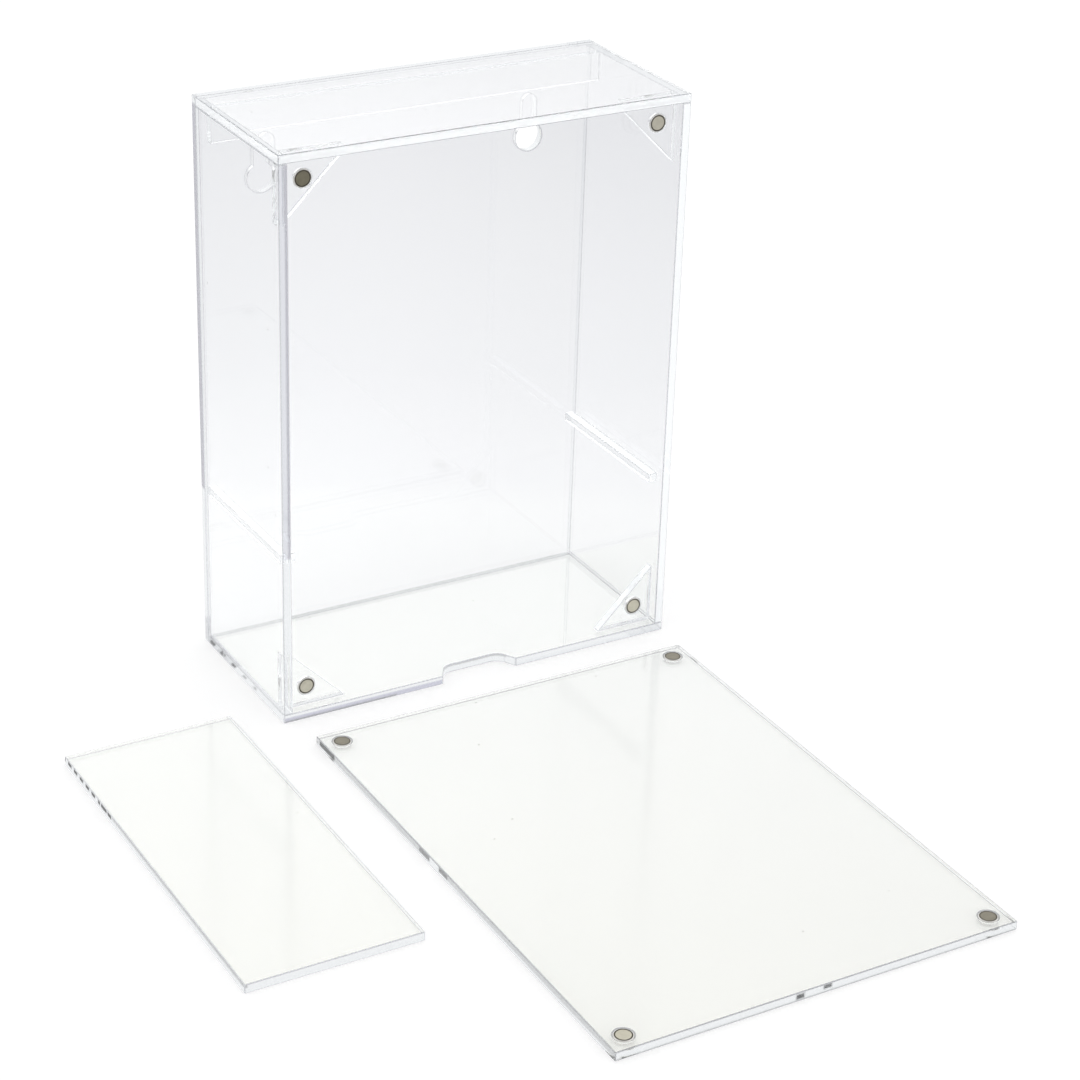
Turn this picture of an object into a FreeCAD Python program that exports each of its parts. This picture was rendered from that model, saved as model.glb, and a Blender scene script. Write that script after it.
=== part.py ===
import FreeCAD, Part
import Sketcher
import math
import os

from FreeCAD import Placement, Rotation, Vector

# Model car display case, in millimetres.
# A clear case of laser-cut acrylic sheet stands upright. Its door and its
# shelf lie on the table beside it, as in the photograph.
# X runs to the right seen from the front, Y to the back, Z up.
# The origin is the centre of the case's footprint, on the table.


# Driving dimensions

SIZES = {
    "case_width": 140.0,
    "case_depth": 62.0,
    "case_height": 188.0,
    "sheet": 3.0,
    "edge_break": 0.15,
    "magnet_diameter": 6.0,
    "magnet_thickness": 2.0,
    "magnet_edge_radius": 0.25,
    "magnet_fit": 0.05,
    "magnet_margin": 3.5,
    "gusset_web": 2.0,
    "door_inset": 0.5,
    "door_seat_gap": 0.2,
    "door_side_clearance": 0.5,
    "door_bottom_clearance": 0.3,
    "door_top_clearance": 0.7,
    "door_rest_gap": 15.7,
    "header_height": 9.5,
    "header_setback": 9.0,
    "ledge_width": 3.0,
    "ledge_height": 3.0,
    "shelf_level": 54.6,
    "shelf_side_clearance": 0.5,
    "shelf_depth_clearance": 0.3,
    "shelf_rest_gap": 15.2,
    "shelf_rest_setback": 7.9,
    "notch_width": 20.0,
    "notch_flare": 3.5,
    "notch_depth": 6.0,
    "notch_corner_radius": 2.5,
    "screw_head_diameter": 8.5,
    "screw_head_clearance": 1.0,
    "screw_shank_diameter": 4.5,
    "screw_shank_clearance": 0.5,
    "keyhole_travel": 9.5,
    "keyhole_side_margin": 23.5,
    "keyhole_top_margin": 29.0,
}

# Lengths that several pieces share, written as expressions on the sheet

HALF_WIDTH = "(Sizes.case_width / 2)"
HALF_DEPTH = "(Sizes.case_depth / 2)"
PANEL_DEPTH = "(Sizes.case_depth - Sizes.sheet)"
INNER_WIDTH = "(Sizes.case_width - 2 * Sizes.sheet)"
INNER_HEIGHT = "(Sizes.case_height - 2 * Sizes.sheet)"
# How far the front faces of the gussets lie behind the front of the case
RECESS = "(Sizes.door_inset + Sizes.sheet + Sizes.door_seat_gap)"
# From the inner faces of the case to the middle of a magnet
SETBACK = "(Sizes.magnet_diameter / 2 + Sizes.magnet_margin)"
ROOT_TWO = str(math.sqrt(2.0))
GUSSET_LEG = (
    f"(2 * {SETBACK} + {ROOT_TWO}"
    " * (Sizes.magnet_diameter / 2 + Sizes.gusset_web))"
)
DOOR_WIDTH = f"({INNER_WIDTH} - 2 * Sizes.door_side_clearance)"
DOOR_HEIGHT = (
    f"({INNER_HEIGHT} - Sizes.door_bottom_clearance"
    " - Sizes.door_top_clearance)"
)
SHELF_LENGTH = f"({INNER_WIDTH} - 2 * Sizes.shelf_side_clearance)"
SHELF_DEPTH = f"({PANEL_DEPTH} - {RECESS} - Sizes.shelf_depth_clearance)"
LEDGE_LENGTH = f"({PANEL_DEPTH} - {RECESS})"

# How a piece that is drawn flat, as it is cut from the sheet, is stood up

FLAT = Rotation()
FACING_FRONT = Rotation(Vector(1, 0, 0), 90)
FACING_SIDE = Rotation(Vector(1, 1, 1), 120)


def make_sheet(doc):
    """Write the driving dimensions into the spreadsheet."""
    sheet = doc.addObject("Spreadsheet::Sheet", "Sizes")
    sheet.Label = "Sizes"
    for row, (alias, value) in enumerate(SIZES.items(), start=1):
        sheet.set(f"A{row}", alias)
        sheet.set(f"B{row}", str(value))
        sheet.setAlias(f"B{row}", alias)
    doc.recompute()
    return sheet


def new_body(doc, label, rotation, x, y, z):
    """A named body whose place follows three expressions."""
    body = doc.addObject("PartDesign::Body", label)
    body.Label = label
    body.Placement = Placement(Vector(), rotation)
    body.setExpression("Placement.Base.x", x)
    body.setExpression("Placement.Base.y", y)
    body.setExpression("Placement.Base.z", z)
    return body


def new_sketch(body, name, level="0"):
    """A sketch on the body's XY plane, raised to a level."""
    plane = next(
        feature
        for feature in body.Origin.OriginFeatures
        if feature.Role == "XY_Plane"
    )
    sketch = body.newObject("Sketcher::SketchObject", name)
    sketch.AttachmentSupport = [(plane, "")]
    sketch.MapMode = "FlatFace"
    sketch.setExpression("AttachmentOffset.Base.z", level)
    return sketch


def drive(sketch, constraint, name, expression):
    """Add a named constraint whose size follows an expression."""
    index = sketch.addConstraint(constraint)
    sketch.renameConstraint(index, name)
    sketch.setExpression(f"Constraints.{name}", expression)


def add_polygon(sketch, corners):
    """Join corners by lines and return the lines' numbers.

    Each corner is a starting guess in millimetres; constraints place it.
    """
    lines = []
    for number, (x, y) in enumerate(corners):
        next_x, next_y = corners[(number + 1) % len(corners)]
        line = Part.LineSegment(Vector(x, y, 0), Vector(next_x, next_y, 0))
        lines.append(sketch.addGeometry(line, False))
    for number, line in enumerate(lines):
        follower = lines[(number + 1) % len(lines)]
        sketch.addConstraint(
            Sketcher.Constraint("Coincident", line, 2, follower, 1)
        )
    return lines


def add_rectangle(sketch, length, width):
    """A rectangle from the sketch's origin along +X and +Y."""
    lines = add_polygon(sketch, [(0, 0), (10, 0), (10, 10), (0, 10)])
    for line, kind in zip(lines, ("Horizontal", "Vertical") * 2):
        sketch.addConstraint(Sketcher.Constraint(kind, line))
    sketch.addConstraint(Sketcher.Constraint("Coincident", lines[0], 1, -1, 1))
    along = Sketcher.Constraint("DistanceX", lines[0], 1, lines[0], 2, 10.0)
    across = Sketcher.Constraint("DistanceY", lines[1], 1, lines[1], 2, 10.0)
    drive(sketch, along, "length", length)
    drive(sketch, across, "width", width)


def add_circle(sketch, name, x, y, radius):
    """A circle whose centre and radius follow expressions."""
    circle = Part.Circle(Vector(5, 5, 0), Vector(0, 0, 1), 1.0)
    number = sketch.addGeometry(circle, False)
    across = Sketcher.Constraint("DistanceX", -1, 1, number, 3, 5.0)
    up = Sketcher.Constraint("DistanceY", -1, 1, number, 3, 5.0)
    size = Sketcher.Constraint("Radius", number, 1.0)
    drive(sketch, across, f"{name}_x", x)
    drive(sketch, up, f"{name}_y", y)
    drive(sketch, size, f"{name}_radius", radius)


def pad(body, sketch, name, height):
    feature = body.newObject("PartDesign::Pad", name)
    feature.Profile = sketch
    feature.setExpression("Length", height)
    sketch.Visibility = False
    body.Document.recompute()
    return feature


def pocket(body, sketch, name, depth):
    """Cut downwards from the sketch, and check that it cut something."""
    before = body.Shape.Volume
    feature = body.newObject("PartDesign::Pocket", name)
    feature.Profile = sketch
    feature.setExpression("Length", depth)
    sketch.Visibility = False
    body.Document.recompute()
    if not feature.Shape.Volume < before:
        raise RuntimeError(f"{body.Label}: {name} cut nothing")
    return feature


def edge_names(shape, wanted):
    """The names of the edges for which wanted(edge) is true."""
    names = []
    for number, edge in enumerate(shape.Edges, start=1):
        if wanted(edge):
            names.append(f"Edge{number}")
    return names


def break_edges(body, feature):
    """Take the sharp corner off every edge of a cut sheet."""
    chamfer = body.newObject("PartDesign::Chamfer", "BrokenEdges")
    chamfer.Base = (feature, edge_names(feature.Shape, lambda edge: True))
    chamfer.setExpression("Size", "Sizes.edge_break")
    feature.Visibility = False
    body.Document.recompute()
    return chamfer


def plain_sheet(doc, label, rotation, length, width, x, y, z):
    """A rectangular piece of sheet with its edges broken."""
    body = new_body(doc, label, rotation, x, y, z)
    sketch = new_sketch(body, "Outline")
    add_rectangle(sketch, length, width)
    blank = pad(body, sketch, "Sheet", "Sizes.sheet")
    break_edges(body, blank)
    return body


def make_walls(doc):
    """The two side walls stand on the bottom and carry the top."""
    walls = []
    left = f"-{HALF_WIDTH}"
    right = f"{HALF_WIDTH} - Sizes.sheet"
    for label, x in (("left_wall", left), ("right_wall", right)):
        walls.append(
            plain_sheet(
                doc,
                label,
                FACING_SIDE,
                PANEL_DEPTH,
                INNER_HEIGHT,
                x,
                f"-{HALF_DEPTH}",
                "Sizes.sheet",
            )
        )
    return walls


def make_top(doc):
    """The top panel lies on both walls, in front of the back panel."""
    return plain_sheet(
        doc,
        "top_panel",
        FLAT,
        "Sizes.case_width",
        PANEL_DEPTH,
        f"-{HALF_WIDTH}",
        f"-{HALF_DEPTH}",
        "Sizes.case_height - Sizes.sheet",
    )


def make_bottom(doc):
    """The bottom panel, with a finger notch in its front edge."""
    body = plain_sheet(
        doc,
        "bottom_panel",
        FLAT,
        "Sizes.case_width",
        PANEL_DEPTH,
        f"-{HALF_WIDTH}",
        f"-{HALF_DEPTH}",
        "0",
    )
    sketch = new_sketch(body, "NotchOutline", "Sizes.sheet")
    corners = [(10, 0), (40, 0), (35, 6), (15, 6)]
    front, right, rear, left = add_polygon(sketch, corners)
    for line in (front, rear):
        sketch.addConstraint(Sketcher.Constraint("Horizontal", line))
    sketch.addConstraint(Sketcher.Constraint("PointOnObject", front, 1, -1))
    mouth_start = Sketcher.Constraint("DistanceX", -1, 1, front, 1, 10.0)
    mouth = Sketcher.Constraint("DistanceX", front, 1, front, 2, 30.0)
    root_start = Sketcher.Constraint("DistanceX", -1, 1, rear, 2, 15.0)
    root = Sketcher.Constraint("DistanceX", rear, 2, rear, 1, 20.0)
    depth = Sketcher.Constraint("DistanceY", front, 1, rear, 2, 6.0)
    drive(
        sketch,
        mouth_start,
        "mouth_start",
        f"{HALF_WIDTH} - Sizes.notch_width / 2 - Sizes.notch_flare",
    )
    drive(sketch, mouth, "mouth", "Sizes.notch_width + 2 * Sizes.notch_flare")
    drive(
        sketch,
        root_start,
        "root_start",
        f"{HALF_WIDTH} - Sizes.notch_width / 2",
    )
    drive(sketch, root, "root", "Sizes.notch_width")
    drive(sketch, depth, "depth", "Sizes.notch_depth")
    notch = pocket(body, sketch, "FingerNotch", "Sizes.sheet")

    root_y = SIZES["notch_depth"]

    def at_notch_root(edge):
        box = edge.BoundBox
        upright = box.ZLength > SIZES["sheet"] / 2
        return upright and abs(box.Center.y - root_y) < box.ZLength * 1e-3

    corner = body.newObject("PartDesign::Fillet", "NotchCorners")
    corner.Base = (notch, edge_names(notch.Shape, at_notch_root))
    corner.setExpression("Radius", "Sizes.notch_corner_radius")
    doc.recompute()
    return body


def make_back(doc):
    """The back panel closes the rear and hangs on two wall screws.

    Each keyhole is a round hole for the screw's head with a slot above
    it for the screw's shank.
    """
    body = plain_sheet(
        doc,
        "back_panel",
        FACING_FRONT,
        "Sizes.case_width",
        "Sizes.case_height",
        f"-{HALF_WIDTH}",
        HALF_DEPTH,
        "0",
    )
    head = "(Sizes.screw_head_diameter + Sizes.screw_head_clearance) / 2"
    shank = "(Sizes.screw_shank_diameter + Sizes.screw_shank_clearance)"
    height = "(Sizes.case_height - Sizes.keyhole_top_margin)"
    places = {
        "left": "Sizes.keyhole_side_margin",
        "right": "(Sizes.case_width - Sizes.keyhole_side_margin)",
    }
    holes = new_sketch(body, "HeadHoles", "Sizes.sheet")
    for side, x in places.items():
        add_circle(holes, side, x, height, head)
    pocket(body, holes, "HeadHoleCuts", "Sizes.sheet")
    for side, x in places.items():
        slot = new_sketch(body, f"Slot_{side}", "Sizes.sheet")
        add_slot(slot, x, height, shank)
        pocket(body, slot, f"SlotCut_{side}", "Sizes.sheet")
    return body


def add_slot(sketch, x, height, width):
    """An upright slot: square where it leaves the round hole, round on top."""
    points = [Vector(5, 5, 0), Vector(10, 5, 0), Vector(10, 15, 0)]
    base = sketch.addGeometry(Part.LineSegment(points[0], points[1]), False)
    right = sketch.addGeometry(Part.LineSegment(points[1], points[2]), False)
    arc = Part.ArcOfCircle(
        Part.Circle(Vector(7.5, 15, 0), Vector(0, 0, 1), 2.5), 0, math.pi
    )
    crown = sketch.addGeometry(arc, False)
    left = sketch.addGeometry(
        Part.LineSegment(Vector(5, 15, 0), points[0]), False
    )
    rules = [
        ("Horizontal", base),
        ("Vertical", right),
        ("Vertical", left),
        ("Coincident", base, 2, right, 1),
        ("Coincident", left, 2, base, 1),
        ("Tangent", right, 2, crown, 1),
        ("Tangent", crown, 2, left, 1),
    ]
    for rule in rules:
        sketch.addConstraint(Sketcher.Constraint(*rule))
    start_x = Sketcher.Constraint("DistanceX", -1, 1, base, 1, 5.0)
    start_y = Sketcher.Constraint("DistanceY", -1, 1, base, 1, 5.0)
    across = Sketcher.Constraint("DistanceX", base, 1, base, 2, 5.0)
    upwards = Sketcher.Constraint("DistanceY", right, 1, right, 2, 10.0)
    drive(sketch, start_x, "start_x", f"{x} - {width} / 2")
    drive(sketch, start_y, "start_y", height)
    drive(sketch, across, "across", width)
    drive(sketch, upwards, "upwards", "Sizes.keyhole_travel")


def make_header(doc):
    """A strip hangs from the top panel, a little in front of the back."""
    return plain_sheet(
        doc,
        "header_strip",
        FACING_FRONT,
        INNER_WIDTH,
        "Sizes.header_height",
        f"-{HALF_WIDTH} + Sizes.sheet",
        f"{HALF_DEPTH} - Sizes.header_setback",
        "Sizes.case_height - Sizes.sheet - Sizes.header_height",
    )


def make_ledges(doc):
    """Two square strips on the walls carry the shelf."""
    ledges = []
    left = f"-{HALF_WIDTH} + Sizes.sheet"
    right = f"{HALF_WIDTH} - Sizes.sheet - Sizes.ledge_width"
    places = (("left_shelf_ledge", left), ("right_shelf_ledge", right))
    for label, x in places:
        body = new_body(
            doc,
            label,
            FLAT,
            x,
            f"-{HALF_DEPTH} + {RECESS}",
            "Sizes.sheet + Sizes.shelf_level - Sizes.ledge_height",
        )
        sketch = new_sketch(body, "Outline")
        add_rectangle(sketch, "Sizes.ledge_width", LEDGE_LENGTH)
        strip = pad(body, sketch, "Strip", "Sizes.ledge_height")
        break_edges(body, strip)
        ledges.append(body)
    return ledges


def make_gussets(doc):
    """A triangle in each front corner holds a magnet and stops the door."""
    inner_x = f"({HALF_WIDTH} - Sizes.sheet)"
    low = "Sizes.sheet"
    high = "Sizes.case_height - Sizes.sheet"
    # Quarter turns from the corner at the lower left, seen from the front
    corners = (
        ("lower_left_gusset", 0, f"-{inner_x}", low),
        ("upper_left_gusset", 1, f"-{inner_x}", high),
        ("upper_right_gusset", 2, inner_x, high),
        ("lower_right_gusset", 3, inner_x, low),
    )
    gussets = []
    for label, turns, x, z in corners:
        turned = Rotation(Vector(0, 1, 0), 90.0 * turns)
        body = new_body(
            doc,
            label,
            turned.multiply(FACING_FRONT),
            x,
            f"-{HALF_DEPTH} + {RECESS} + Sizes.sheet",
            z,
        )
        sketch = new_sketch(body, "Triangle")
        corner, slope, up = add_polygon(sketch, [(0, 0), (10, 0), (0, 10)])
        rules = [
            ("Horizontal", corner),
            ("Vertical", up),
            ("Coincident", corner, 1, -1, 1),
            ("Equal", corner, up),
        ]
        for rule in rules:
            sketch.addConstraint(Sketcher.Constraint(*rule))
        leg = Sketcher.Constraint("DistanceX", corner, 1, corner, 2, 10.0)
        drive(sketch, leg, "leg", GUSSET_LEG)
        plate = pad(body, sketch, "Sheet", "Sizes.sheet")
        break_edges(body, plate)
        seat = new_sketch(body, "MagnetSeat", "Sizes.sheet")
        add_circle(
            seat,
            "seat",
            SETBACK,
            SETBACK,
            "Sizes.magnet_diameter / 2 + Sizes.magnet_fit",
        )
        pocket(body, seat, "MagnetPocket", "Sizes.magnet_thickness")
        gussets.append(body)
    return gussets


def make_magnet(doc, label, rotation, x, y, z):
    """A nickel-plated disc magnet with rounded rims."""
    body = new_body(doc, label, rotation, x, y, z)
    sketch = new_sketch(body, "Rim")
    add_circle(sketch, "rim", "0", "0", "Sizes.magnet_diameter / 2")
    disc = pad(body, sketch, "Disc", "Sizes.magnet_thickness")
    rims = edge_names(disc.Shape, lambda edge: len(edge.Vertexes) == 1)
    rounding = body.newObject("PartDesign::Fillet", "RoundedRims")
    rounding.Base = (disc, rims)
    rounding.setExpression("Radius", "Sizes.magnet_edge_radius")
    doc.recompute()
    return body


def make_case_magnets(doc):
    """One magnet in each gusset, flush with the gusset's front face."""
    across = f"({HALF_WIDTH} - Sizes.sheet - {SETBACK})"
    low = f"Sizes.sheet + {SETBACK}"
    high = f"Sizes.case_height - Sizes.sheet - {SETBACK}"
    corners = (
        ("lower_left_case_magnet", f"-{across}", low),
        ("lower_right_case_magnet", across, low),
        ("upper_left_case_magnet", f"-{across}", high),
        ("upper_right_case_magnet", across, high),
    )
    seat = f"-{HALF_DEPTH} + {RECESS} + Sizes.magnet_thickness"
    return [
        make_magnet(doc, label, FACING_FRONT, x, seat, z)
        for label, x, z in corners
    ]


# The door lies on its outer face with its lower edge towards the case

DOOR_FRONT = f"(-{HALF_DEPTH} - Sizes.door_rest_gap)"
DOOR_MAGNET_X = f"({HALF_WIDTH} - Sizes.sheet - {SETBACK})"
DOOR_MAGNET_LOW = f"({SETBACK} - Sizes.door_bottom_clearance)"
DOOR_MAGNET_HIGH = (
    f"({INNER_HEIGHT} - {SETBACK} - Sizes.door_bottom_clearance)"
)


def make_door(doc):
    """The door panel, with four magnet pockets in its inner face."""
    body = plain_sheet(
        doc,
        "door_panel",
        FLAT,
        DOOR_WIDTH,
        DOOR_HEIGHT,
        f"-{DOOR_WIDTH} / 2",
        f"{DOOR_FRONT} - {DOOR_HEIGHT}",
        "0",
    )
    seats = new_sketch(body, "MagnetSeats", "Sizes.sheet")
    for side, sign in (("left", "-"), ("right", "+")):
        x = f"{DOOR_WIDTH} / 2 {sign} {DOOR_MAGNET_X}"
        for end, up in (("low", DOOR_MAGNET_LOW), ("high", DOOR_MAGNET_HIGH)):
            add_circle(
                seats,
                f"{end}_{side}",
                x,
                f"{DOOR_HEIGHT} - {up}",
                "Sizes.magnet_diameter / 2 + Sizes.magnet_fit",
            )
    pocket(body, seats, "MagnetPockets", "Sizes.magnet_thickness")
    return body


def make_door_magnets(doc):
    """Four magnets, flush with the door's inner face."""
    corners = (
        ("lower_left_door_magnet", f"-{DOOR_MAGNET_X}", DOOR_MAGNET_LOW),
        ("lower_right_door_magnet", DOOR_MAGNET_X, DOOR_MAGNET_LOW),
        ("upper_left_door_magnet", f"-{DOOR_MAGNET_X}", DOOR_MAGNET_HIGH),
        ("upper_right_door_magnet", DOOR_MAGNET_X, DOOR_MAGNET_HIGH),
    )
    seat = "Sizes.sheet - Sizes.magnet_thickness"
    return [
        make_magnet(doc, label, FLAT, x, f"{DOOR_FRONT} - {up}", seat)
        for label, x, up in corners
    ]


def make_shelf(doc):
    """The loose shelf lies beside the case, its length along Y."""
    return plain_sheet(
        doc,
        "shelf_plate",
        FLAT,
        SHELF_DEPTH,
        SHELF_LENGTH,
        f"-{HALF_WIDTH} - Sizes.shelf_rest_gap - {SHELF_DEPTH}",
        f"-{HALF_DEPTH} + Sizes.shelf_rest_setback - {SHELF_LENGTH}",
        "0",
    )


def check(doc, pieces):
    """Stop if any object failed or any piece isn't one valid solid."""
    for item in doc.Objects:
        if "Invalid" in item.State or "Error" in item.State:
            raise RuntimeError(f"{item.Label} failed: {item.State}")
    for piece in pieces:
        shape = piece.Shape
        if shape.isNull() or not shape.isValid():
            raise RuntimeError(f"{piece.Label} has no valid shape")
        if len(shape.Solids) != 1:
            raise RuntimeError(f"{piece.Label} isn't one solid")


def main():
    doc = FreeCAD.newDocument("DisplayCase")
    make_sheet(doc)
    pieces = []
    pieces += make_walls(doc)
    pieces += [make_top(doc), make_bottom(doc), make_back(doc)]
    pieces += [make_header(doc)]
    pieces += make_ledges(doc)
    pieces += make_gussets(doc)
    pieces += make_case_magnets(doc)
    pieces += [make_door(doc)]
    pieces += make_door_magnets(doc)
    pieces += [make_shelf(doc)]
    doc.recompute()
    check(doc, pieces)
    os.makedirs("parts", exist_ok=True)
    for piece in pieces:
        piece.Shape.exportStep(f"parts/{piece.Label}.step")
        box = piece.Shape.BoundBox
        print(
            f"{piece.Label}: x {box.XMin:.2f} to {box.XMax:.2f},"
            f" y {box.YMin:.2f} to {box.YMax:.2f},"
            f" z {box.ZMin:.2f} to {box.ZMax:.2f}"
        )


main()
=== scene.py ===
# %% [markdown]
# # A clear display case for a model car
# The real thing is five sheets of clear acrylic glued into an open box, with
# a strip under its lid and two ledges inside. A loose door, which small
# magnets hold in the front, and a loose shelf lie on the table beside it.
# Everything here is in metres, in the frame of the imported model: X to the
# right seen from the front, Y to the back, Z up.

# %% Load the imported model
import bpy
import math
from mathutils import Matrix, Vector


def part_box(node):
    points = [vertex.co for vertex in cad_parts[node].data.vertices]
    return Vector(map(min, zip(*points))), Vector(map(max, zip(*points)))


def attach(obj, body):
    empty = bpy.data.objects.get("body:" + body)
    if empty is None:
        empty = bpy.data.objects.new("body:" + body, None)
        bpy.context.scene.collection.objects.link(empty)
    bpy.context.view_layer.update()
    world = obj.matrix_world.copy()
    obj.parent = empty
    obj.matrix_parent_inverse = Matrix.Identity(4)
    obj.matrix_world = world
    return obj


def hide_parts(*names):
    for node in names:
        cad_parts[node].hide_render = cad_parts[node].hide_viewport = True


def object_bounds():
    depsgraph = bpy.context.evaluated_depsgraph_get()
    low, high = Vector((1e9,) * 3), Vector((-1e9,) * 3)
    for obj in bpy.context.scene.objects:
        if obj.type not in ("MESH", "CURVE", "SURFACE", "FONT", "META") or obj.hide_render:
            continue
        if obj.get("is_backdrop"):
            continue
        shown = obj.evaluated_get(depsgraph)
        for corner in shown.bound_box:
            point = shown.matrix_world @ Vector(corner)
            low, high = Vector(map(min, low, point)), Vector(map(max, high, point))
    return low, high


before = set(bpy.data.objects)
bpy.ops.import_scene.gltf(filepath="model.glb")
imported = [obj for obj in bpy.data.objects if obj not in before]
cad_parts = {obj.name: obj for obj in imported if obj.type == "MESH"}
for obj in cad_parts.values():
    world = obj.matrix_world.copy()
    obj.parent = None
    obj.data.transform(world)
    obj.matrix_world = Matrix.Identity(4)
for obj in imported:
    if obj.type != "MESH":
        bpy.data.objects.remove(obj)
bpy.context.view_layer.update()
print("nodes:", len(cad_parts))

# %% [markdown]
# ## The camera
# A long lens from the front left, a little above the case. Its place and
# turn were worked out from the corners of the real case, door and shelf, and
# from the eight magnets, which lie flat against known corners.

# %% Camera
LENS = 94.4
CAMERA_AT = (-0.3931, -0.7342, 0.4563)
CAMERA_TURN = (63.225, -1.753, -29.617)
bpy.ops.object.camera_add(
    location=CAMERA_AT, rotation=[math.radians(a) for a in CAMERA_TURN]
)
camera = bpy.context.object
camera.name = "camera"
camera.data.lens = LENS
camera.data.sensor_width = 36
camera.data.clip_start = 0.01
bpy.context.scene.camera = camera
print("lens in mm:", LENS)

# %% [markdown]
# ## Helpers for cut sheet
# Acrylic sheet is cut by laser, so every piece is a flat blank with square
# sides and slightly broken edges. Each blank could be drawn by hand, but the
# solids already know the sizes, so a block is stretched to a solid's box.
# Two clear solids that share a face confuse a ray tracer, so each blank is
# made a hair smaller all round. Faces narrower than NARROW are broken edges,
# and a face that has another piece within TOUCH of it is glued to that piece.

# %% Shared sizes
MM = 0.001
HAIR = 0.02 * MM
BREAK = 0.3 * MM
NARROW = 0.45 * MM
TOUCH = 0.15 * MM
FLAT_ENOUGH = 0.99
SHARP, SMOOTH = math.radians(40), math.radians(15)
AXES = {"X": 0, "Y": 1, "Z": 2}
CORNERS = ("lower_left", "lower_right", "upper_left", "upper_right")
print("edges are broken by", BREAK / MM, "mm")

# %% Selecting and placing


def deselect_all():
    """Leave edit mode and select nothing."""
    if bpy.context.object and bpy.context.object.mode != "OBJECT":
        bpy.ops.object.mode_set(mode="OBJECT")
    bpy.ops.object.select_all(action="DESELECT")


def make_active(piece):
    """Select this piece alone."""
    deselect_all()
    piece.select_set(True)
    bpy.context.view_layer.objects.active = piece


def apply_place(piece):
    """Put the object at the origin, with its place in its mesh."""
    make_active(piece)
    bpy.ops.object.transform_apply(location=True, rotation=True, scale=True)


# %% Blocks and rods to start from


def name_piece(piece, name):
    piece.name = name
    piece.data.name = name


def block(name, low, high):
    """A block between two corners, still to be cut and broken."""
    deselect_all()
    low, high = Vector(low), Vector(high)
    bpy.ops.mesh.primitive_cube_add(
        size=1, location=(low + high) / 2, scale=high - low
    )
    piece = bpy.context.object
    name_piece(piece, name)
    apply_place(piece)
    return piece


def rod(name, centre, radius, length, axis, sides):
    """A cylinder along X, Y or Z."""
    deselect_all()
    turn = {"X": (0, math.pi / 2, 0), "Y": (math.pi / 2, 0, 0), "Z": (0, 0, 0)}
    bpy.ops.mesh.primitive_cylinder_add(
        vertices=sides,
        radius=radius,
        depth=length,
        location=centre,
        rotation=turn[axis],
    )
    piece = bpy.context.object
    name_piece(piece, name)
    apply_place(piece)
    return piece


def hair_box(node):
    """The solid's box, a hair smaller all round."""
    low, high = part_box(node)
    inset = Vector((HAIR, HAIR, HAIR))
    return low + inset, high - inset


def middle_of(node):
    """The centre of the solid's box."""
    low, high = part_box(node)
    return (low + high) / 2


# %% Editing a part of a mesh


def edit_where(piece, test, kind="VERT"):
    """Enter edit mode with only the parts that pass a test selected."""
    make_active(piece)
    bpy.ops.object.mode_set(mode="EDIT")
    bpy.ops.mesh.select_mode(type=kind)
    bpy.ops.mesh.select_all(action="DESELECT")
    bpy.ops.object.mode_set(mode="OBJECT")
    mesh = piece.data
    parts = {"VERT": mesh.vertices, "EDGE": mesh.edges, "FACE": mesh.polygons}
    for part in parts[kind]:
        part.select = test(part)
    bpy.ops.object.mode_set(mode="EDIT")


def leave_edit():
    bpy.ops.object.mode_set(mode="OBJECT")


def faces(polygon, axis):
    """Whether a face looks straight along an axis, either way."""
    return abs(polygon.normal[AXES[axis]]) > FLAT_ENOUGH


# %% Cutting and breaking edges


def cut_away(piece, cutter):
    """Take the cutter's shape out of the piece, and remove the cutter."""
    make_active(piece)
    cut = piece.modifiers.new("cut", "BOOLEAN")
    cut.operation = "DIFFERENCE"
    cut.solver = "EXACT"
    cut.object = cutter
    bpy.ops.object.modifier_apply(modifier=cut.name)
    bpy.data.objects.remove(cutter)


def break_edges(piece, width=BREAK, segments=2):
    """Take off every sharp edge a little, as scraping does."""
    make_active(piece)
    bevel = piece.modifiers.new("broken edges", "BEVEL")
    bevel.width = width
    bevel.segments = segments
    bevel.limit_method = "ANGLE"
    bevel.angle_limit = SHARP
    bpy.ops.object.modifier_apply(modifier=bevel.name)
    bpy.ops.object.shade_smooth_by_angle(angle=SMOOTH)


def score(piece, axis, at):
    """Divide the faces along a plane, without cutting the piece in two."""
    make_active(piece)
    point, normal = Vector((0, 0, 0)), Vector((0, 0, 0))
    point[AXES[axis]] = at
    normal[AXES[axis]] = 1
    bpy.ops.object.mode_set(mode="EDIT")
    bpy.ops.mesh.select_all(action="SELECT")
    bpy.ops.mesh.bisect(plane_co=point, plane_no=normal)
    leave_edit()


# %% [markdown]
# ## Effects for the clear sheet
# Clear sheet is never one flat colour. Its faces carry a few specks of dust and faint
# wiping marks, its cut sides show fine lines left by the laser's pulses, and in places the
# laser's smoke leaves dark dashes. Other dark and tinted bands on the cut sides are
# painted shade, and a few dark patches are painted reflections. Each effect is a node
# group that puts out a mask or a height, so that any of the finishes can use it with its
# own values.

# %% Starting a group


def new_group(name, inputs, outputs):
    """A node group with named number sockets and one vector input."""
    group = bpy.data.node_groups.new(name, "ShaderNodeTree")
    group.interface.new_socket(
        "Vector", in_out="INPUT", socket_type="NodeSocketVector"
    )
    for label, value in inputs:
        socket = group.interface.new_socket(
            label, in_out="INPUT", socket_type="NodeSocketFloat"
        )
        socket.default_value = value
    for label in outputs:
        group.interface.new_socket(
            label, in_out="OUTPUT", socket_type="NodeSocketFloat"
        )
    start = group.nodes.new("NodeGroupInput")
    end = group.nodes.new("NodeGroupOutput")
    return group, group.nodes, group.links, start, end


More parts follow.
